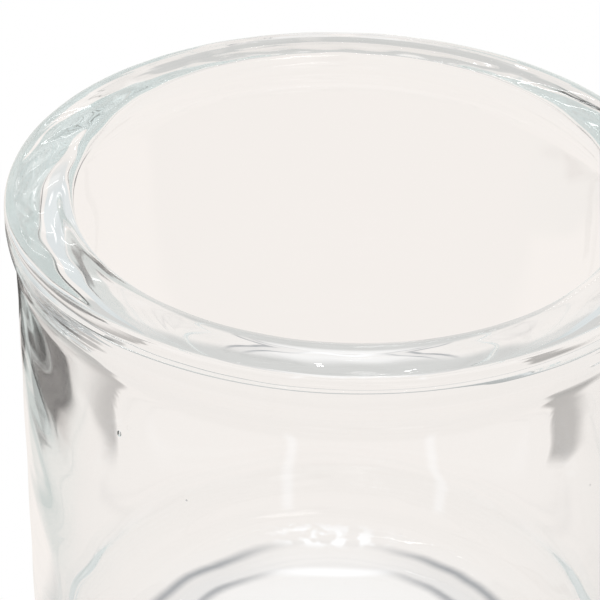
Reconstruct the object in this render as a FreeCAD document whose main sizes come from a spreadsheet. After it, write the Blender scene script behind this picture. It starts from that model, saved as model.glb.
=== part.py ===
import FreeCAD, Part
import math
import os
import Sketcher

# Clear glass cylinder vase: one continuous piece of glass, modelled as the three regions a glassmaker
# works separately. They meet face to face with no gap and no overlap.
#   heavy_base  thick floor with a rounded heel, a bearing ring, a shallow push-up and an inner corner fillet
#   side_wall   plain cylindrical wall
#   rim_bead    thick fire-polished lip that stands proud of the wall outside and overhangs the inside
# Frame: millimetres, +Z up along the axis of the cylinder, origin at the centre of the resting plane.

DRIVING_DIMENSIONS = [
    ("overall_height", 100.0, "resting plane to the top of the rim"),
    ("rim_radius", 50.0, "widest radius of the rim bead"),
    ("mouth_radius", 39.7, "narrowest radius of the mouth"),
    ("wall_radius", 48.6, "outer radius of the side wall"),
    ("wall_thickness", 3.1, "thickness of the side wall"),
    ("shoulder_drop", 3.0, "top of the rim to the level where the bead is widest"),
    ("bead_height", 8.4, "level where the bead is widest to the plain wall"),
    ("corner_radius", 1.5, "outer top corner of the rim"),
    ("nose_radius", 2.2, "rounded inner edge of the rim"),
    ("lip_fillet", 7.0, "hollow under the overhang, where the lip runs into the wall"),
    ("floor_thickness", 8.0, "resting plane to the inner floor"),
    ("floor_fillet", 9.0, "hollow corner between the inner floor and the wall"),
    ("heel_radius", 12.0, "rounded outer bottom edge"),
    ("bearing_width", 6.0, "flat ring that the vase rests on"),
    ("push_up", 1.6, "height of the shallow dome under the base"),
]

SHEET_LABEL = "dims"

# Levels and radii that follow from the driving dimensions, as expressions on the sheet.
INNER_RADIUS = "dims.wall_radius - dims.wall_thickness"
BASE_TOP = "dims.floor_thickness + dims.floor_fillet"
WIDEST_LEVEL = "dims.overall_height - dims.shoulder_drop"
WALL_TOP = "dims.overall_height - dims.shoulder_drop - dims.bead_height"
BEARING_OUTER = "dims.wall_radius - dims.heel_radius"
BEARING_INNER = "dims.wall_radius - dims.heel_radius - dims.bearing_width"

# Sketcher's names for the parts of a geometry and for the sketch's own origin and vertical axis.
START, END, CENTRE = 1, 2, 3
ORIGIN, VERTICAL_AXIS = -1, -2

doc = FreeCAD.newDocument("glass_cylinder_vase")


def make_sheet():
    """The spreadsheet that drives every sub-part."""
    sheet = doc.addObject("Spreadsheet::Sheet", SHEET_LABEL)
    for row, (alias, value, meaning) in enumerate(DRIVING_DIMENSIONS, start=1):
        sheet.set(f"A{row}", alias)
        sheet.set(f"B{row}", str(value))
        sheet.set(f"C{row}", meaning)
        sheet.setAlias(f"B{row}", alias)
    doc.recompute()
    return sheet


def origin_plane(body, role):
    """A body's own origin plane, found by its role."""
    for feature in body.Origin.OriginFeatures:
        if feature.Role == role:
            return feature
    raise RuntimeError(f"{body.Label} has no {role}")


class Outline:
    """Half section of a turned sub-part: a closed chain of lines and arcs, radius across and height up."""

    def __init__(self, label):
        self.body = doc.addObject("PartDesign::Body", label)
        self.body.Label = label
        self.sketch = self.body.newObject("Sketcher::SketchObject", f"{label}_section")
        self.sketch.AttachmentSupport = [(origin_plane(self.body, "XZ_Plane"), "")]
        self.sketch.MapMode = "FlatFace"
        self.bound = []

    def line(self, start, end):
        return self.sketch.addGeometry(
            Part.LineSegment(FreeCAD.Vector(*start, 0), FreeCAD.Vector(*end, 0)), False
        )

    def arc(self, centre, radius, first_deg, last_deg):
        """An arc that runs counter-clockwise from its first to its last angle."""
        circle = Part.Circle(FreeCAD.Vector(*centre, 0), FreeCAD.Vector(0, 0, 1), radius)
        sweep = Part.ArcOfCircle(circle, math.radians(first_deg), math.radians(last_deg))
        return self.sketch.addGeometry(sweep, False)

    def rule(self, kind, *references):
        return self.sketch.addConstraint(Sketcher.Constraint(kind, *references))

    def bind(self, kind, name, references, expression, value):
        """A named dimension of the sketch, driven by the sheet once the section is closed."""
        index = self.rule(kind, *references, value)
        self.sketch.renameConstraint(index, name)
        self.bound.append((name, expression))

    def radius_at(self, name, geometry, place, expression, value):
        self.bind("DistanceX", name, (ORIGIN, START, geometry, place), expression, value)

    def level_at(self, name, geometry, place, expression, value):
        self.bind("DistanceY", name, (ORIGIN, START, geometry, place), expression, value)

    def revolve(self):
        """Hands the dimensions over to the sheet and turns the section about the vertical axis."""
        for name, expression in self.bound:
            self.sketch.setExpression(f"Constraints.{name}", expression)
        doc.recompute()
        if not self.sketch.FullyConstrained:
            raise RuntimeError(f"{self.sketch.Label} isn't fully constrained")
        turned = self.body.newObject("PartDesign::Revolution", f"{self.body.Label}_turned")
        turned.Profile = self.sketch
        turned.ReferenceAxis = (self.sketch, ["V_Axis"])
        turned.Angle = 360.0
        self.sketch.Visibility = False
        doc.recompute()
        return self.body


sheet = make_sheet()


def size(alias):
    """A driving dimension, read back from the sheet."""
    return float(sheet.get(alias))


def heavy_base():
    """Thick floor: push-up, bearing ring, heel, outer side, joint to the wall, corner fillet, inner floor."""
    wall = size("wall_radius")
    inner = wall - size("wall_thickness")
    floor = size("floor_thickness")
    fillet = size("floor_fillet")
    top = floor + fillet
    heel = size("heel_radius")
    ring_outer = wall - heel
    ring_inner = ring_outer - size("bearing_width")
    rise = size("push_up")
    dome = (ring_inner**2 + rise**2) / (2 * rise)
    dome_half_deg = math.degrees(math.asin(ring_inner / dome))

    section = Outline("heavy_base")
    push_up = section.arc((0, rise - dome), dome, 90 - dome_half_deg, 90)
    bearing = section.line((ring_inner, 0), (ring_outer, 0))
    heel_arc = section.arc((ring_outer, heel), heel, 270, 360)
    side = section.line((wall, heel), (wall, top))
    joint = section.line((wall, top), (inner, top))
    corner = section.arc((inner - fillet, top), fillet, 270, 360)
    inner_floor = section.line((inner - fillet, floor), (0, floor))
    axis = section.line((0, floor), (0, rise))

    section.rule("Coincident", push_up, START, bearing, START)
    section.rule("Tangent", bearing, END, heel_arc, START)
    section.rule("Tangent", heel_arc, END, side, START)
    section.rule("Coincident", side, END, joint, START)
    section.rule("Coincident", joint, END, corner, END)
    section.rule("Tangent", corner, START, inner_floor, START)
    section.rule("Coincident", inner_floor, END, axis, START)
    section.rule("Coincident", axis, END, push_up, END)
    section.rule("PointOnObject", push_up, CENTRE, VERTICAL_AXIS)
    section.rule("PointOnObject", axis, START, VERTICAL_AXIS)
    section.rule("PointOnObject", axis, END, VERTICAL_AXIS)
    section.rule("PointOnObject", bearing, START, -1)
    section.rule("Horizontal", bearing)
    section.rule("Vertical", side)
    section.rule("Horizontal", joint)
    section.rule("Horizontal", inner_floor)
    section.radius_at("wall_radius", side, END, "dims.wall_radius", wall)
    section.bind("Radius", "heel_radius", (heel_arc,), "dims.heel_radius", heel)
    section.radius_at("bearing_inner", bearing, START, BEARING_INNER, ring_inner)
    section.level_at("push_up", push_up, END, "dims.push_up", rise)
    section.level_at("floor_level", inner_floor, START, "dims.floor_thickness", floor)
    section.bind("Radius", "floor_fillet", (corner,), "dims.floor_fillet", fillet)
    section.radius_at("inner_radius", joint, END, INNER_RADIUS, inner)
    section.level_at("base_top", joint, END, BASE_TOP, top)
    return section.revolve()


def side_wall():
    """Plain cylindrical wall between the base and the rim."""
    outer = size("wall_radius")
    inner = outer - size("wall_thickness")
    low = size("floor_thickness") + size("floor_fillet")
    high = size("overall_height") - size("shoulder_drop") - size("bead_height")

    section = Outline("side_wall")
    foot = section.line((inner, low), (outer, low))
    outside = section.line((outer, low), (outer, high))
    top = section.line((outer, high), (inner, high))
    inside = section.line((inner, high), (inner, low))
    for first, second in ((foot, outside), (outside, top), (top, inside), (inside, foot)):
        section.rule("Coincident", first, END, second, START)
    section.rule("Horizontal", foot)
    section.rule("Vertical", outside)
    section.rule("Horizontal", top)
    section.rule("Vertical", inside)
    section.radius_at("wall_radius", outside, START, "dims.wall_radius", outer)
    section.radius_at("inner_radius", inside, END, INNER_RADIUS, inner)
    section.level_at("base_top", foot, START, BASE_TOP, low)
    section.level_at("wall_top", top, START, WALL_TOP, high)
    return section.revolve()


def rim_bead():
    """Thick lip: hollow and bulge outside, top corner, flat top, round inner nose, hollow under the overhang."""
    height = size("overall_height")
    rim = size("rim_radius")
    mouth = size("mouth_radius")
    wall = size("wall_radius")
    inner = wall - size("wall_thickness")
    widest = height - size("shoulder_drop")
    low = widest - size("bead_height")
    corner = size("corner_radius")
    nose = size("nose_radius")
    hollow = size("lip_fillet")

    # Outside, two equal arcs carry the wall out to the widest radius.
    half_rise = (widest - low) / 2
    half_step = (rim - wall) / 2
    swell = (half_rise**2 + half_step**2) / (2 * half_step)
    swell_deg = math.degrees(math.asin(half_rise / swell))
    # Inside, the nose and the hollow under it touch on the line between their centres.
    across = mouth + nose - (inner - hollow)
    down = math.sqrt((nose + hollow) ** 2 - across**2)
    touch_deg = math.degrees(math.atan2(down, across))

    section = Outline("rim_bead")
    joint = section.line((inner, low), (wall, low))
    flare = section.arc((wall + swell, low), swell, 180 - swell_deg, 180)
    bulge = section.arc((rim - swell, widest), swell, -swell_deg, 0)
    side = section.line((rim, widest), (rim, height - corner))
    top_corner = section.arc((rim - corner, height - corner), corner, 0, 90)
    top = section.line((rim - corner, height), (mouth + nose, height))
    nose_arc = section.arc((mouth + nose, height - nose), nose, 90, 180 + touch_deg)
    under = section.arc((inner - hollow, height - nose - down), hollow, 0, touch_deg)
    inside = section.line((inner, height - nose - down), (inner, low))

    section.rule("Coincident", joint, END, flare, END)
    section.rule("Tangent", flare, START, bulge, START)
    section.rule("Tangent", bulge, END, side, START)
    section.rule("Tangent", side, END, top_corner, START)
    section.rule("Tangent", top_corner, END, top, START)
    section.rule("Tangent", top, END, nose_arc, START)
    section.rule("Tangent", nose_arc, END, under, END)
    section.rule("Tangent", under, START, inside, START)
    section.rule("Coincident", inside, END, joint, START)
    section.rule("Horizontal", joint)
    section.rule("Horizontal", flare, CENTRE, joint, END)
    section.rule("Equal", flare, bulge)
    section.rule("Vertical", side)
    section.rule("Horizontal", top)
    section.rule("Vertical", inside)
    section.radius_at("rim_radius", side, START, "dims.rim_radius", rim)
    section.level_at("widest_level", side, START, WIDEST_LEVEL, widest)
    section.radius_at("wall_radius", joint, END, "dims.wall_radius", wall)
    section.level_at("wall_top", joint, END, WALL_TOP, low)
    section.bind("Radius", "corner_radius", (top_corner,), "dims.corner_radius", corner)
    section.level_at("overall_height", top, START, "dims.overall_height", height)
    section.bind("Radius", "nose_radius", (nose_arc,), "dims.nose_radius", nose)
    section.radius_at(
        "nose_centre", nose_arc, CENTRE, "dims.mouth_radius + dims.nose_radius", mouth + nose
    )
    section.bind("Radius", "lip_fillet", (under,), "dims.lip_fillet", hollow)
    section.radius_at("inner_radius", inside, END, INNER_RADIUS, inner)
    return section.revolve()


def check(parts):
    """Stops if any object of the document has failed or any sub-part isn't one valid solid."""
    for item in doc.Objects:
        if "Invalid" in item.State or "Error" in item.State:
            raise RuntimeError(f"{item.Label} has failed: {item.State}")
    for part in parts:
        shape = part.Shape
        if shape.isNull() or not shape.isValid() or len(shape.Solids) != 1:
            raise RuntimeError(f"{part.Label} isn't one valid solid")


def check_volume(parts):
    """Compares the glass with the plain cylinder it stands in and the hollow it must leave."""
    glass = sum(part.Shape.Volume for part in parts)
    block = math.pi * size("wall_radius") ** 2 * size("overall_height")
    inner = size("wall_radius") - size("wall_thickness")
    hollow = math.pi * inner**2 * (size("overall_height") - size("floor_thickness"))
    if not block - hollow < glass < block - 0.8 * hollow:
        raise RuntimeError(f"glass volume {glass:.0f} mm3 is out of its bounds")
    print(f"glass {glass / 1000:.1f} ml, block {block / 1000:.1f} ml, hollow {hollow / 1000:.1f} ml")


parts = [heavy_base(), side_wall(), rim_bead()]
for part in parts:
    part.Placement = FreeCAD.Placement(FreeCAD.Vector(0, 0, 0), FreeCAD.Rotation())
doc.recompute()
check(parts)
check_volume(parts)

os.makedirs("parts", exist_ok=True)
for part in parts:
    part.Shape.exportStep(f"parts/{part.Label}.step")
    box = part.Shape.optimalBoundingBox()
    print(f"{part.Label}: {part.Shape.Volume / 1000:.2f} ml, z {box.ZMin:.2f} to {box.ZMax:.2f}")
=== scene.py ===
import math

import bmesh
import bpy
from mathutils import Matrix, Vector


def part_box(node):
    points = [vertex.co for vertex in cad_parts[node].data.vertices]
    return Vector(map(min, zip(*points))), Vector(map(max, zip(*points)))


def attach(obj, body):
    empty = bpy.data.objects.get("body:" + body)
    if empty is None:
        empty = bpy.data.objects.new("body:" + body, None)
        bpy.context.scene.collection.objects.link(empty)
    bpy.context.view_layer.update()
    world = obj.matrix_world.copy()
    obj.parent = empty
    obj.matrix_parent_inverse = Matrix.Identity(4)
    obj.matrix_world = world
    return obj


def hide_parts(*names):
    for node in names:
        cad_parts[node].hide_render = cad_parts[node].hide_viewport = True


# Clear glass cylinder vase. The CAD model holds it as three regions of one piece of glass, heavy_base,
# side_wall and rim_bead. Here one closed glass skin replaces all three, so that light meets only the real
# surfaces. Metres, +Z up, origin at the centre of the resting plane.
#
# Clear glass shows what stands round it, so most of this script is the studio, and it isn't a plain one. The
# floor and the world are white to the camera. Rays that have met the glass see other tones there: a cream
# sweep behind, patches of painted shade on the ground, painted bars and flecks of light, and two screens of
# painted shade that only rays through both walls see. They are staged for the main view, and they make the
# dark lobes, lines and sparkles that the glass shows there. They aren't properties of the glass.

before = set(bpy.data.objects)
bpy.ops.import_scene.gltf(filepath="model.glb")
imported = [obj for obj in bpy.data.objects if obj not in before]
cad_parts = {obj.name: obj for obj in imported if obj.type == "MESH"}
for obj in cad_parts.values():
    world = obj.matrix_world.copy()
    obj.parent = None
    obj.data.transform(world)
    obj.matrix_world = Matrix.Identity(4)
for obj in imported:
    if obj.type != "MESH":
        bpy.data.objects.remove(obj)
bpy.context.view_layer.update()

MM = 0.001

# Sizes that the CAD boxes give.
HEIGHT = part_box("rim_bead")[1][2]
RIM_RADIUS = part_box("rim_bead")[1][0]
WALL_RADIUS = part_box("side_wall")[1][0]
WALL_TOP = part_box("side_wall")[1][2]

# Sizes that only the section shows.
MOUTH_RADIUS = 39.7 * MM
WALL_THICKNESS = 3.1 * MM
SHOULDER_DROP = 3.0 * MM
CORNER_RADIUS = 1.5 * MM
NOSE_RADIUS = 2.2 * MM
LIP_FILLET = 7.0 * MM
FLOOR_THICKNESS = 8.0 * MM
FLOOR_FILLET = 9.0 * MM
HEEL_RADIUS = 12.0 * MM
BEARING_WIDTH = 6.0 * MM
PUSH_UP = 1.6 * MM
INNER_RADIUS = WALL_RADIUS - WALL_THICKNESS
WIDEST_LEVEL = HEIGHT - SHOULDER_DROP
RING_OUTER = WALL_RADIUS - HEEL_RADIUS
RING_INNER = RING_OUTER - BEARING_WIDTH

# How finely the skin is divided.
SIDES = 288
DOME_STEPS = 10
ARC_STEP_DEG = 7.0
ARC_STEP = 0.6 * MM
RIM_STEP = 0.3 * MM
RUN_STEP = 1.3 * MM

# How deep the marks of making go.
DRIFT_DEPTH = 0.03 * MM
HELIX_DEPTH = 0.006 * MM
FINE_DEPTH = 0.0012 * MM
RING_DEPTH = 0.012 * MM
RIPPLE_DEPTH = 0.012 * MM
CALM_BELOW = 10 * MM

# Fine streaks round the rim, in the material's bump.
STREAK_DEPTH = 0.005 * MM
STREAKS_PER_METRE = 900
STREAK_LENGTHS = 40
STREAKS_ON_WALL = 0.12

# Bubbles caught in the wall: direction from the axis (degrees), level, depth under the outside, radius (mm)
# and how many times taller than wide.
SEEDS = ((-129.9, 81.0, 1.2, 0.36, 1.5), (-116.3, 74.6, 1.0, 0.13, 1.3), (-43.5, 71.2, 1.2, 0.11, 1.3))

# Glass.
GLASS_IOR = 1.52
DEPTH_COLOUR = (0.35, 0.80, 0.70)
DEPTH_DENSITY = 0.45

# The studio's tones, as the glass shows them.
SEEN_WHITE = (1.0, 1.0, 1.0)
CREAM = (0.93, 0.885, 0.85)
ROOM = (0.74, 0.78, 0.79)
FRONT_ROOM = (0.58, 0.61, 0.60)
DIM = (0.38, 0.40, 0.40)
CEILING = (0.88, 0.90, 0.90)
UNDER_BASE = (0.98, 0.965, 0.955)
CONTACT = (0.27, 0.285, 0.31)
# Tone of the painted shade on the ground in front of the base.
FRONT_SHADE = (0.66, 0.655, 0.64)
# Tones of the patches of painted shade on the ground.
GREY_SHADE = (0.60, 0.64, 0.62)
DARK_SHADE = (0.07, 0.068, 0.065)
WINDOW_LIGHT = (1.12, 1.12, 1.13)
# Tone of the painted shade on the screens behind the vase.
SCREEN_SHADE = (0.03, 0.025, 0.023)

# Patches of painted shade on the ground: the tone, then for X and for Y the places (mm) where the patch
# begins, is full, begins to end and is gone.
SHADE_PATCHES = (
    (GREY_SHADE, (-84, -92, -150, -190), (-10, 10, 110, 150)),
    (DARK_SHADE, (-120, -128, -160, -185), (5, 20, 60, 80)),
    (DARK_SHADE, (-109, -113, -124, -130), (38, 46, 88, 98)),
    (DARK_SHADE, (136, 150, 290, 320), (85, 96, 160, 180)),
    (DARK_SHADE, (-66, -72, -115, -125), (108, 114, 140, 155)),
    (DARK_SHADE, (-80, -87, -98, -103), (86, 93, 112, 118)),
)

# The contact shadow (mm): where it comes in behind and aside, and what is left of it elsewhere.
SHADOW_BEHIND = (8, 24)
SHADOW_IN_FRONT = 0.25
SHADOW_ASIDE = (5, 22)
SHADOW_AT_MIDDLE = 0.08

# Where the ground is paler under the base, and where the painted shade in front of it comes in (mm).
PALE_MIDDLE = (20, 45)
FRONT_SHADE_FROM = (22, 6)

# Two thin bars of window light on the ground behind the vase (mm): their places, the soft edge of each, the
# stretch that they cover, and how bright they are at the middle.
WINDOW_BARS = (-8.3, 21.0)
BAR_EDGE = (0.2, 1.8)
BARS_ALONG = (47, 50, 80, 115)
BAR_SHARE = 0.28

# Two rows of light flecks on the ground (mm): the stretch of each, and where they fade aside. Noise of this
# scale breaks up the outer row, between these two of its values.
OUTER_FLECKS = (34.5, 37, 38, 44)
INNER_FLECKS = (27.3, 28.6, 28.8, 30.2)
FLECKS_FADE = (3, 14)
FLECK_SCALE = 380
FLECK_NOISE = (0.42, 0.62)

# Where the room's tones change, as parts of a direction's Y or Z: where the change begins and where it ends.
SWEEP_Y = (0.78, 0.90)
SWEEP_TOP_Z = (0.37, 0.43)
FRONT_Y = (0.0, -0.5)
CEILING_Z = (0.62, 0.80)

# Soft glows in the room, some of them dark: azimuth and elevation, reach (degrees) and brightness.
GLOWS = (
    (98, 29, 4, 1.3), (128, 13, 4, 1.25), (143, 16, 3, 1.3),
    (-70, 8, 9, 1.3), (-84, 14, 7, 0.12), (-97, 4, 8, 1.15), (-60, -4, 7, 0.2), (-78, 26, 8, 1.1),
)

# Narrow lamps a metre from the rim: azimuth and elevation (degrees), width, height (m) and brightness.
STRIPS = {
    "strip_left": (99.5, 30.5, 0.05, 0.005, 4.0),
    "strip_right_low": (82, 28.3, 0.08, 0.008, 6.0),
    "strip_right_high": (85, 32.0, 0.06, 0.006, 5.0),
}

# A row of small lamps behind, for the glints on the front of the rim: azimuth of the first, the step to the
# next, the two elevations that they take in turn (degrees), and the width, height (m) and brightness of each.
ROW_LAMPS = 5
ROW_START = 84.0
ROW_STEP = 2.1
ROW_ELEVATIONS = (38.2, 38.5)
ROW_LAMP = (0.022, 0.004, 14.0)

TOP_LIGHT_PLACE = (0.1, 0.2, 0.9)
TOP_LIGHT_AIM = (0, 0, 0.05)
TOP_LIGHT_SIZE = 0.12
TOP_LIGHT_POWER = 0.15

FLOOR_RADIUS = 1.2
FLOOR_BELOW = 0.3 * MM

# The side screens of painted shade stand this far behind the axis, and span this much across and up (mm). A
# ray through both walls has crossed the glass's surface four times.
SCREEN_BEHIND = 62
SCREEN_ACROSS = (26, 96)
SCREEN_HEIGHT = 122
SCREEN_COLUMNS = 100
SCREEN_ROWS = 90
BOTH_WALLS = 3.5

# Light is trapped in the rim for many bounces before it leaves.
BOUNCES = 200
CLEAR_BOUNCES = 16

# The camera: a close view from above the rim, with the vase running out of the frame right and below.
AIM = Vector((-6.5 * MM, -8.0 * MM, 84.7 * MM))
VIEW_DISTANCE = 343.5 * MM
VIEW_ELEVATION = math.radians(33.2)
VIEW_ROLL = math.radians(1.35)
LENS_MM = 140.7
SENSOR_MM = 36.0


def make_camera():
    """Looks along +Y and down at AIM, rolled clockwise about its own axis."""
    right = Vector((1, 0, 0))
    ahead = Vector((0, math.cos(VIEW_ELEVATION), -math.sin(VIEW_ELEVATION)))
    down = Vector((0, -math.sin(VIEW_ELEVATION), -math.cos(VIEW_ELEVATION)))
    rolled_right = right * math.cos(VIEW_ROLL) - down * math.sin(VIEW_ROLL)
    rolled_up = -(right * math.sin(VIEW_ROLL) + down * math.cos(VIEW_ROLL))
    turn = Matrix((rolled_right, rolled_up, -ahead)).transposed()
    data = bpy.data.cameras.new("camera")
    data.lens = LENS_MM
    data.sensor_width = SENSOR_MM
    data.clip_start = 0.01
    camera = bpy.data.objects.new("camera", data)
    camera.matrix_world = Matrix.Translation(AIM - ahead * VIEW_DISTANCE) @ turn.to_4x4()
    bpy.context.collection.objects.link(camera)
    bpy.context.scene.camera = camera


def smooth(low, high, value):
    share = min(1.0, max(0.0, (value - low) / (high - low)))
    return share * share * (3 - 2 * share)


def run(start, end, step=RUN_STEP):
    """Points on a straight stretch of the section, without its last point."""
    count = max(1, round(math.dist(start, end) / step))
    return [tuple(a + (b - a) * i / count for a, b in zip(start, end)) for i in range(count)]


def arc(centre, radius, first_deg, last_deg, step=ARC_STEP):
    """Points on a round stretch of the section, from its first to its last angle, without the last point."""
    length = radius * math.radians(abs(last_deg - first_deg))
    count = max(2, math.ceil(abs(last_deg - first_deg) / ARC_STEP_DEG), math.ceil(length / step))
    angles = [math.radians(first_deg + (last_deg - first_deg) * i / count) for i in range(count)]
    return [(centre[0] + radius * math.cos(a), centre[1] + radius * math.sin(a)) for a in angles]


def glass_section():
    """The half section of the vase, from the axis under the base, round the outside and back to the axis,
    and how many of its points come before the flat top."""
    dome = (RING_INNER**2 + PUSH_UP**2) / (2 * PUSH_UP)
    dome_deg = math.degrees(math.asin(RING_INNER / dome))
    half_rise = (WIDEST_LEVEL - WALL_TOP) / 2
    half_step = (RIM_RADIUS - WALL_RADIUS) / 2
    swell = (half_rise**2 + half_step**2) / (2 * half_step)
    swell_deg = math.degrees(math.asin(half_rise / swell))
    across = MOUTH_RADIUS + NOSE_RADIUS - (INNER_RADIUS - LIP_FILLET)
    down = math.sqrt((NOSE_RADIUS + LIP_FILLET) ** 2 - across**2)
    touch_deg = math.degrees(math.atan2(down, across))
    hollow_level = HEIGHT - NOSE_RADIUS - down

    points = []
    for i in range(DOME_STEPS):
        angle = math.radians(90 - dome_deg * i / DOME_STEPS)
        points.append((dome * math.cos(angle), PUSH_UP - dome + dome * math.sin(angle)))
    points += run((RING_INNER, 0), (RING_OUTER, 0))
    points += arc((RING_OUTER, HEEL_RADIUS), HEEL_RADIUS, 270, 360)
    points += run((WALL_RADIUS, HEEL_RADIUS), (WALL_RADIUS, WALL_TOP))
    points += arc((WALL_RADIUS + swell, WALL_TOP), swell, 180, 180 - swell_deg, RIM_STEP)
    points += arc((RIM_RADIUS - swell, WIDEST_LEVEL), swell, -swell_deg, 0, RIM_STEP)
    points += run((RIM_RADIUS, WIDEST_LEVEL), (RIM_RADIUS, HEIGHT - CORNER_RADIUS), RIM_STEP)
    points += arc((RIM_RADIUS - CORNER_RADIUS, HEIGHT - CORNER_RADIUS), CORNER_RADIUS, 0, 90)
    split = len(points)
    points += run((RIM_RADIUS - CORNER_RADIUS, HEIGHT), (MOUTH_RADIUS + NOSE_RADIUS, HEIGHT), RIM_STEP)
    points += arc((MOUTH_RADIUS + NOSE_RADIUS, HEIGHT - NOSE_RADIUS), NOSE_RADIUS, 90, 180 + touch_deg)
    points += arc((INNER_RADIUS - LIP_FILLET, hollow_level), LIP_FILLET, touch_deg, 0)
    points += run((INNER_RADIUS, hollow_level), (INNER_RADIUS, FLOOR_THICKNESS + FLOOR_FILLET))
    corner = (INNER_RADIUS - FLOOR_FILLET, FLOOR_THICKNESS + FLOOR_FILLET)
    points += arc(corner, FLOOR_FILLET, 0, -90)
    points += run((corner[0], FLOOR_THICKNESS), (0, FLOOR_THICKNESS))
    points.append((0, FLOOR_THICKNESS))
    return points, split


def waves(turn, radius, level, outside, facing_up):
    """How far the making leaves the surface inside its true shape: long drifts, a helical ripple down the
    wall, which is strongest at two sides, rings around the outside of the rim and ripples on its top.

    In each sine the factor of turn is a whole number of waves round the vase, so that the skin closes, and
    the factor of z or across is in radians per millimetre."""
    z = level / MM
    if z < CALM_BELOW / MM:
        return 0.0
    phase = 0.0 if outside else 1.7
    drift = 1 + math.sin(2 * turn + 0.021 * z + phase)
    helix = 1 + math.sin(7 * turn + 0.42 * z + phase + 0.8 * math.sin(3 * turn + 0.11 * z))
    helix *= 1 + 8.0 * math.cos(turn) ** 10
    fine = 1 + math.sin(23 * turn - 0.95 * z + 2 * phase + 1.1 * math.sin(5 * turn))
    rim_share = smooth(WALL_TOP + 1 * MM, WALL_TOP + 5 * MM, level)
    foot_share = smooth(CALM_BELOW, CALM_BELOW + 6 * MM, level)
    depth = (DRIFT_DEPTH * drift + HELIX_DEPTH * helix + FINE_DEPTH * fine) * foot_share
    if outside:
        rings = math.sin(4.3 * z + 1.3 * math.sin(turn + 0.4))
        rings *= math.sin(1.9 * z + 2.2 * math.sin(2 * turn) + 0.7)
        depth += RING_DEPTH * (1 + rings) * rim_share
    across = radius / MM
    ripple = math.sin(17 * turn + 0.9 * across + 1.5 * math.sin(4 * turn + 0.5 * across))
    ripple += 0.7 * math.sin(31 * turn - 1.3 * across + 2.0 * math.sin(3 * turn))
    ripple += 0.5 * math.sin(0.75 * across + 2.5 * math.sin(5 * turn))
    side_share = 1 + 3.5 * math.cos(turn) ** 8 + 1.2 * max(0.0, math.sin(turn)) ** 4
    return depth + RIPPLE_DEPTH * side_share * (2.2 + ripple) * facing_up


def lathe(name, section, split):
    """A closed skin turned about the Z axis from a half section whose two ends lie on the axis. The points
    before split are on the outside."""
    mesh = bpy.data.meshes.new(name)
    bm = bmesh.new()
    rings = [[bm.verts.new((0, 0, section[0][1]))]]
    for index in range(1, len(section) - 1):
        radius, level = section[index]
        before, after = section[index - 1], section[index + 1]
        run_length = math.dist(before, after)
        out_radius = (after[1] - before[1]) / run_length
        out_level = (before[0] - after[0]) / run_length
        ring = []
        for i in range(SIDES):
            turn = 2 * math.pi * i / SIDES
            depth = waves(turn, radius, level, index < split, max(0.0, out_level))
            r = radius - depth * out_radius
            ring.append(bm.verts.new((r * math.cos(turn), r * math.sin(turn), level - depth * out_level)))
        rings.append(ring)
    rings.append([bm.verts.new((0, 0, section[-1][1]))])
    for lower, upper in zip(rings, rings[1:]):
        for i in range(SIDES):
            j = (i + 1) % SIDES
            if len(lower) == 1:
                bm.faces.new((lower[0], upper[j], upper[i]))
            elif len(upper) == 1:
                bm.faces.new((lower[i], lower[j], upper[0]))
            else:
                bm.faces.new((lower[i], lower[j], upper[j], upper[i]))
    bmesh.ops.recalc_face_normals(bm, faces=bm.faces)
    for face in bm.faces:
        face.smooth = True
    bm.to_mesh(mesh)
    bm.free()
    piece = bpy.data.objects.new(name, mesh)
    bpy.context.collection.objects.link(piece)
    return piece


def add_seed(piece, turn_deg, level_mm, depth_mm, radius_mm, stretch):
    """A small bubble caught in the wall, as an inner skin that faces the void."""
    turn = math.radians(turn_deg)
    level = level_mm * MM
    size = radius_mm * MM
    radius = WALL_RADIUS - depth_mm * MM
    bm = bmesh.new()
    bm.from_mesh(piece.data)
    seed = bmesh.ops.create_icosphere(bm, subdivisions=3, radius=1.0)["verts"]
    centre = Vector((radius * math.cos(turn), radius * math.sin(turn), level))
    shape = Matrix.Diagonal((size, size, size * stretch, 1))
    bmesh.ops.transform(bm, matrix=Matrix.Translation(centre) @ shape, verts=seed)
    faces = {face for vertex in seed for face in vertex.link_faces}
    bmesh.ops.reverse_faces(bm, faces=list(faces))
    for face in faces:
        face.smooth = True
    bm.to_mesh(piece.data)
    bm.free()


def add_node(tree, kind, operation=None):
    node = tree.nodes.new(kind)
    if operation:
        node.operation = operation
    return node


def feed(tree, socket, source):
    """Sets a socket to a number, a vector or a colour, or links another node's output to it."""
    if isinstance(source, bpy.types.NodeSocket):
        tree.links.new(source, socket)
    elif isinstance(source, tuple) and socket.type == "RGBA":
        socket.default_value = (*source, 1)
    else:
        socket.default_value = source


def math_node(tree, operation, first, second=None):
    node = add_node(tree, "ShaderNodeMath", operation)
    feed(tree, node.inputs[0], first)
    if second is not None:
        feed(tree, node.inputs[1], second)
    return node.outputs["Value"]


def product(tree, *factors):
    result = factors[0]
    for factor in factors[1:]:
        result = math_node(tree, "MULTIPLY", result, factor)
    return result


def length_node(tree, vector):
    node = add_node(tree, "ShaderNodeVectorMath", "LENGTH")
    feed(tree, node.inputs[0], vector)
    return node.outputs["Value"]


def axes_node(tree, vector):
    node = add_node(tree, "ShaderNodeSeparateXYZ")
    feed(tree, node.inputs["Vector"], vector)
    return node.outputs


def step_node(tree, source, low, high, low_value=0.0, high_value=1.0):
    """A smooth step of a value."""
    node = add_node(tree, "ShaderNodeMapRange")
    node.interpolation_type = "SMOOTHSTEP"
    feed(tree, node.inputs["From Min"], low)
    feed(tree, node.inputs["From Max"], high)
    feed(tree, node.inputs["To Min"], low_value)
    feed(tree, node.inputs["To Max"], high_value)
    feed(tree, node.inputs["Value"], source)
    return node.outputs["Result"]


def place_step(tree, place, begins, full, low_value=0.0, high_value=1.0):
    """A smooth step between two places (mm)."""
    return step_node(tree, place, begins * MM, full * MM, low_value, high_value)


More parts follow.
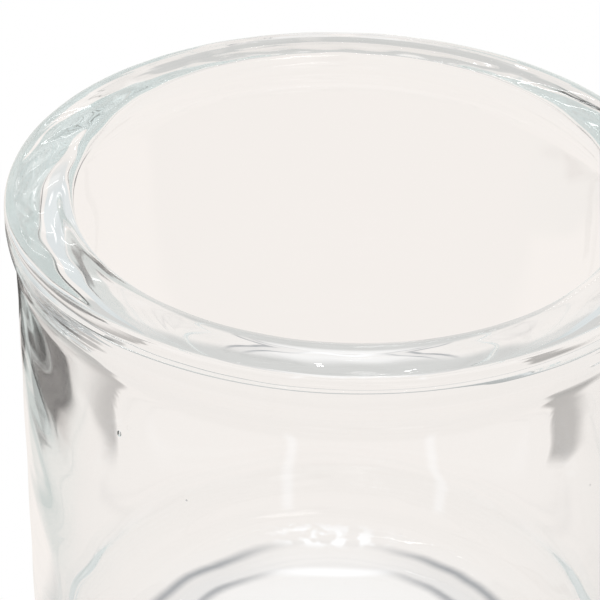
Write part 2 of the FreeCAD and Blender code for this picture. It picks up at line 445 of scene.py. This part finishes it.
def span_node(tree, place, begins, full, ends, gone):
    """A smooth rise between two places and a smooth fall between two others (mm)."""
    return product(tree, place_step(tree, place, begins, full), place_step(tree, place, ends, gone, 1.0, 0.0))


def blend_node(tree, share, first, second):
    """From the first tone to the second by share."""
    node = add_node(tree, "ShaderNodeMix")
    node.data_type = "RGBA"
    feed(tree, node.inputs["A"], first)
    feed(tree, node.inputs["B"], second)
    feed(tree, node.inputs["Factor"], share)
    return node.outputs["Result"]


def white_to_camera(tree, tone):
    path = add_node(tree, "ShaderNodeLightPath")
    return blend_node(tree, path.outputs["Is Camera Ray"], tone, SEEN_WHITE)


def new_material(name):
    material = bpy.data.materials.new(name)
    material.use_nodes = True
    return material, material.node_tree


def streak_height(tree, place):
    """Fine streaks that run round the rim: noise drawn out along the turn and close together across it."""
    flat = add_node(tree, "ShaderNodeVectorMath", "MULTIPLY")
    feed(tree, flat.inputs[0], place)
    feed(tree, flat.inputs[1], (1, 1, 0))
    around = add_node(tree, "ShaderNodeVectorMath", "SCALE")
    feed(tree, around.inputs[0], flat.outputs["Vector"])
    feed(tree, around.inputs["Scale"], STREAK_LENGTHS)
    around_axes = axes_node(tree, around.outputs["Vector"])
    radius = length_node(tree, flat.outputs["Vector"])
    across = math_node(tree, "SUBTRACT", axes_node(tree, place)["Z"], radius)
    noise_place = add_node(tree, "ShaderNodeCombineXYZ")
    feed(tree, noise_place.inputs["X"], around_axes["X"])
    feed(tree, noise_place.inputs["Y"], around_axes["Y"])
    feed(tree, noise_place.inputs["Z"], math_node(tree, "MULTIPLY", across, STREAKS_PER_METRE))
    streaks = add_node(tree, "ShaderNodeTexNoise")
    feed(tree, streaks.inputs["Vector"], noise_place.outputs["Vector"])
    feed(tree, streaks.inputs["Scale"], 1.0)
    feed(tree, streaks.inputs["Detail"], 1.0)
    return streaks.outputs["Fac"]


def glass_material():
    """Clear soda-lime glass with a faint green depth, and fine streaks that are strongest on the rim."""
    material, tree = new_material("clear_glass")
    shader = tree.nodes["Principled BSDF"]
    shader.inputs["Base Color"].default_value = (1, 1, 1, 1)
    shader.inputs["Roughness"].default_value = 0.0
    shader.inputs["IOR"].default_value = GLASS_IOR
    shader.inputs["Transmission Weight"].default_value = 1.0
    place = add_node(tree, "ShaderNodeTexCoord").outputs["Object"]
    level = axes_node(tree, place)["Z"]
    on_rim = step_node(tree, level, WALL_TOP - 2 * MM, WIDEST_LEVEL - 2 * MM, STREAKS_ON_WALL)
    bump = add_node(tree, "ShaderNodeBump")
    bump.inputs["Distance"].default_value = STREAK_DEPTH
    feed(tree, bump.inputs["Strength"], on_rim)
    feed(tree, bump.inputs["Height"], streak_height(tree, place))
    feed(tree, shader.inputs["Normal"], bump.outputs["Normal"])
    depth = add_node(tree, "ShaderNodeVolumeAbsorption")
    depth.inputs["Color"].default_value = (*DEPTH_COLOUR, 1)
    depth.inputs["Density"].default_value = DEPTH_DENSITY
    feed(tree, tree.nodes["Material Output"].inputs["Volume"], depth.outputs["Volume"])
    return material


def contact_shadow(tree, place, y, aside):
    """Two soft dark rings on the ground, at the inner and the outer edge of the ring that carries the vase.
    They fade towards the middle and towards the front."""
    ramp = add_node(tree, "ShaderNodeValToRGB")
    reach = 2 * WALL_RADIUS
    stops = (
        (0.0, 0.0), (RING_INNER - 1.5 * MM, 0.0), (RING_INNER, 1.0), (RING_INNER + 1.0 * MM, 0.15),
        (RING_OUTER - 1.5 * MM, 0.15), (RING_OUTER, 1.0), (RING_OUTER + 1.6 * MM, 0.0),
    )
    elements = ramp.color_ramp.elements
    elements[1].position = stops[-1][0] / reach
    elements[1].color = (0, 0, 0, 1)
    elements[0].color = (0, 0, 0, 1)
    for at, amount in stops[1:-1]:
        elements.new(at / reach).color = (amount, amount, amount, 1)
    feed(tree, ramp.inputs["Fac"], math_node(tree, "DIVIDE", length_node(tree, place), reach))
    behind = place_step(tree, y, *SHADOW_BEHIND, SHADOW_IN_FRONT)
    to_side = place_step(tree, aside, *SHADOW_ASIDE, SHADOW_AT_MIDDLE)
    return product(tree, behind, to_side, ramp.outputs["Color"])


def window_bars(tree, x, y):
    """Two thin bars of window light on the table behind the vase."""
    bars = None
    for across in WINDOW_BARS:
        away = math_node(tree, "ABSOLUTE", math_node(tree, "SUBTRACT", x, across * MM))
        bar = place_step(tree, away, *BAR_EDGE, BAR_SHARE, 0.0)
        bars = bar if bars is None else math_node(tree, "MAXIMUM", bars, bar)
    return product(tree, bars, span_node(tree, y, *BARS_ALONG))


def flecks(tree, x, y, aside):
    """Flecks of light on the table, just behind the ring that carries the vase and just inside it."""
    place = add_node(tree, "ShaderNodeCombineXYZ")
    feed(tree, place.inputs["X"], x)
    feed(tree, place.inputs["Y"], y)
    noise = add_node(tree, "ShaderNodeTexNoise")
    feed(tree, noise.inputs["Vector"], place.outputs["Vector"])
    feed(tree, noise.inputs["Scale"], FLECK_SCALE)
    feed(tree, noise.inputs["Detail"], 1.0)
    strokes = step_node(tree, noise.outputs["Fac"], *FLECK_NOISE)
    outer = product(tree, span_node(tree, y, *OUTER_FLECKS), strokes)
    inner = span_node(tree, y, *INNER_FLECKS)
    central = place_step(tree, aside, *FLECKS_FADE, 1.0, 0.0)
    return product(tree, math_node(tree, "MAXIMUM", outer, inner), central)


def make_floor():
    """A plain white table to the camera. The glass shows a cream one with a painted contact shadow, patches
    of painted shade, painted shade in front of the base, and painted bars and flecks of light."""
    mesh = bpy.data.meshes.new("floor")
    bm = bmesh.new()
    bmesh.ops.create_circle(bm, cap_ends=True, segments=64, radius=FLOOR_RADIUS)
    bm.to_mesh(mesh)
    bm.free()
    floor = bpy.data.objects.new("floor", mesh)
    floor.location.z = -FLOOR_BELOW
    material, tree = new_material("studio_floor")
    tree.nodes.clear()
    place = add_node(tree, "ShaderNodeTexCoord").outputs["Object"]
    axes = axes_node(tree, place)
    x = axes["X"]
    y = axes["Y"]
    aside = math_node(tree, "ABSOLUTE", x)
    centre = place_step(tree, length_node(tree, place), *PALE_MIDDLE, 1.0, 0.0)
    ahead = place_step(tree, y, *FRONT_SHADE_FROM)
    tone = blend_node(tree, centre, CREAM, UNDER_BASE)
    tone = blend_node(tree, contact_shadow(tree, place, y, aside), tone, CONTACT)
    # Painted shade on the ground in front of the base.
    tone = blend_node(tree, ahead, tone, FRONT_SHADE)
    # Patches of painted shade on the ground.
    for shade_tone, x_span, y_span in SHADE_PATCHES:
        share = product(tree, span_node(tree, x, *x_span), span_node(tree, y, *y_span))
        tone = blend_node(tree, share, tone, shade_tone)
    tone = blend_node(tree, window_bars(tree, x, y), tone, WINDOW_LIGHT)
    tone = blend_node(tree, flecks(tree, x, y, aside), tone, WINDOW_LIGHT)
    glow = add_node(tree, "ShaderNodeEmission")
    feed(tree, glow.inputs["Color"], white_to_camera(tree, tone))
    output = add_node(tree, "ShaderNodeOutputMaterial")
    feed(tree, output.inputs["Surface"], glow.outputs["Emission"])
    mesh.materials.append(material)
    bpy.context.collection.objects.link(floor)


def direction(azimuth_deg, elevation_deg):
    """A unit vector. Azimuth 90 points behind the vase, away from the camera."""
    azimuth = math.radians(azimuth_deg)
    elevation = math.radians(elevation_deg)
    level = math.cos(elevation)
    return Vector((level * math.cos(azimuth), level * math.sin(azimuth), math.sin(elevation)))


def make_world():
    """White to the camera. The glass shows a cream sweep low behind it, a pale ceiling and a dimmer room."""
    world = bpy.data.worlds.new("studio")
    world.use_nodes = True
    tree = world.node_tree
    place = add_node(tree, "ShaderNodeTexCoord").outputs["Generated"]
    axes = axes_node(tree, place)
    behind = step_node(tree, axes["Y"], *SWEEP_Y)
    in_front = step_node(tree, axes["Y"], *FRONT_Y)
    above_sweep = step_node(tree, axes["Z"], *SWEEP_TOP_Z)
    high = step_node(tree, axes["Z"], *CEILING_Z)
    sweep = blend_node(tree, above_sweep, CREAM, DIM)
    tone = blend_node(tree, in_front, ROOM, FRONT_ROOM)
    tone = blend_node(tree, behind, tone, sweep)
    tone = blend_node(tree, high, tone, CEILING)
    for azimuth, elevation, reach, brightness in GLOWS:
        toward = add_node(tree, "ShaderNodeVectorMath", "DOT_PRODUCT")
        feed(tree, toward.inputs[0], place)
        feed(tree, toward.inputs[1], direction(azimuth, elevation))
        share = step_node(tree, toward.outputs["Value"], math.cos(math.radians(reach)), 1.0)
        tone = blend_node(tree, share, tone, (brightness, brightness, brightness))
    feed(tree, tree.nodes["Background"].inputs["Color"], white_to_camera(tree, tone))
    bpy.context.scene.world = world


def edge_of_dark(z):
    """How far across the dark beside the sweep begins, at a height above the table (mm). The shape is set for
    the outline that the lobes have in the main view."""
    edge = 45.8 - 10.8 * smooth(12, 40, z) - 5.5 * smooth(38, 66, z)
    return edge + 2.0 * smooth(78, 100, z) - 2.5 * smooth(104, 112, z)


def right_cover(across, z):
    """How much painted shade the right screen holds (0 to 1): one rounded shade beside the sweep."""
    inward = across - edge_of_dark(z)
    foot = 4.0 + 6 * smooth(49.5, 56, across)
    shade = 0.55 * smooth(0, 0.8, inward) * (1 - smooth(5.5, 11, inward))
    return shade * smooth(foot - 1, foot + 3, z) * smooth(74, 60, z)


def left_cover(across, z):
    """How much painted shade the left screen holds (0 to 1): a shade that fades outward, a band along the
    top, a darker lobe beyond them and a small soft dark spot."""
    inward = across - edge_of_dark(z)
    if inward < 0:
        return 0.0
    foot = max(1.0, 2 + 0.77 * (73 - across)) if across > 58 else 4 + 14 * smooth(46, 58, across)
    shade = (0.50 - 0.42 * smooth(2, 12, inward)) * smooth(0, 0.8, inward) * smooth(foot - 4, foot + 3, z)
    band = smooth(62, 92, z) * (1 - 0.55 * smooth(38, 45, across)) * smooth(1.0, 3.0, inward)
    outer_lobe = smooth(58, 61.5, across) * smooth(foot - 2, foot + 2, z) * smooth(81, 76, across)
    dark_spot = 0.6 * smooth(5.5, 1.5, math.dist((across, z), (90, 28)))
    return max(shade, band, outer_lobe, dark_spot)


def side_screen(name, side, cover_at):
    """A screen of painted shade close behind the vase, as dark at each place as cover_at says. Only rays that
    have passed through both walls of the glass see it."""
    mesh = bpy.data.meshes.new(name)
    bm = bmesh.new()
    cover = bm.loops.layers.float_color.new("cover")
    near, far = SCREEN_ACROSS
    grid = []
    for i in range(SCREEN_COLUMNS + 1):
        across = near + (far - near) * i / SCREEN_COLUMNS
        grid.append([])
        for j in range(SCREEN_ROWS + 1):
            z = SCREEN_HEIGHT * j / SCREEN_ROWS
            corner = bm.verts.new((side * across * MM, SCREEN_BEHIND * MM, z * MM))
            grid[-1].append((corner, cover_at(across, z)))
    for i in range(SCREEN_COLUMNS):
        for j in range(SCREEN_ROWS):
            corners = (grid[i][j], grid[i + 1][j], grid[i + 1][j + 1], grid[i][j + 1])
            face = bm.faces.new([vertex for vertex, _ in corners])
            for loop, (_, amount) in zip(face.loops, corners):
                loop[cover] = (amount, amount, amount, 1)
    bm.to_mesh(mesh)
    bm.free()
    screen = bpy.data.objects.new(name, mesh)
    screen.visible_camera = False
    material, tree = new_material(name)
    tree.nodes.clear()
    attribute = add_node(tree, "ShaderNodeAttribute")
    attribute.attribute_name = "cover"
    path = add_node(tree, "ShaderNodeLightPath")
    through_both = math_node(tree, "GREATER_THAN", path.outputs["Transmission Depth"], BOTH_WALLS)
    glow = add_node(tree, "ShaderNodeEmission")
    # Painted shade: a dark glow where the screen covers, clear elsewhere.
    feed(tree, glow.inputs["Color"], SCREEN_SHADE)
    clear = add_node(tree, "ShaderNodeBsdfTransparent")
    mix = add_node(tree, "ShaderNodeMixShader")
    feed(tree, mix.inputs["Fac"], product(tree, attribute.outputs["Fac"], through_both))
    feed(tree, mix.inputs[1], clear.outputs["BSDF"])
    feed(tree, mix.inputs[2], glow.outputs["Emission"])
    output = add_node(tree, "ShaderNodeOutputMaterial")
    feed(tree, output.inputs["Surface"], mix.outputs["Shader"])
    mesh.materials.append(material)
    bpy.context.collection.objects.link(screen)


def softbox(name, place, aim, width, height, power):
    data = bpy.data.lights.new(name, "AREA")
    data.shape = "RECTANGLE"
    data.size = width
    data.size_y = height
    data.energy = power
    lamp = bpy.data.objects.new(name, data)
    lamp.location = place
    lamp.rotation_euler = (Vector(aim) - Vector(place)).to_track_quat("-Z", "Y").to_euler()
    lamp.visible_camera = False
    bpy.context.collection.objects.link(lamp)


def strip_light(name, azimuth_deg, elevation_deg, width, height, brightness):
    """A narrow lamp a metre from the rim, in the direction given. The glass shows it as a white stroke."""
    rim = Vector((0, 0, HEIGHT))
    power = brightness * math.pi * width * height
    softbox(name, rim + direction(azimuth_deg, elevation_deg), rim, width, height, power)


def make_lights():
    softbox("softbox_top", TOP_LIGHT_PLACE, TOP_LIGHT_AIM, TOP_LIGHT_SIZE, TOP_LIGHT_SIZE, TOP_LIGHT_POWER)
    for name, strip in STRIPS.items():
        strip_light(name, *strip)
    for i in range(ROW_LAMPS):
        strip_light(f"strip_middle_{i}", ROW_START + ROW_STEP * i, ROW_ELEVATIONS[i % 2], *ROW_LAMP)


def set_up_render():
    scene = bpy.context.scene
    scene.view_settings.view_transform = "Standard"
    scene.cycles.max_bounces = BOUNCES
    scene.cycles.transmission_bounces = BOUNCES
    scene.cycles.glossy_bounces = BOUNCES
    scene.cycles.transparent_max_bounces = CLEAR_BOUNCES


make_camera()
make_world()
make_floor()
make_lights()
side_screen("shade_screen_left", -1, left_cover)
side_screen("shade_screen_right", 1, right_cover)
set_up_render()

vase = lathe("glass_body", *glass_section())
for seed in SEEDS:
    add_seed(vase, *seed)
vase.data.materials.append(glass_material())
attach(vase, "root")
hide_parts("heavy_base", "side_wall", "rim_bead")
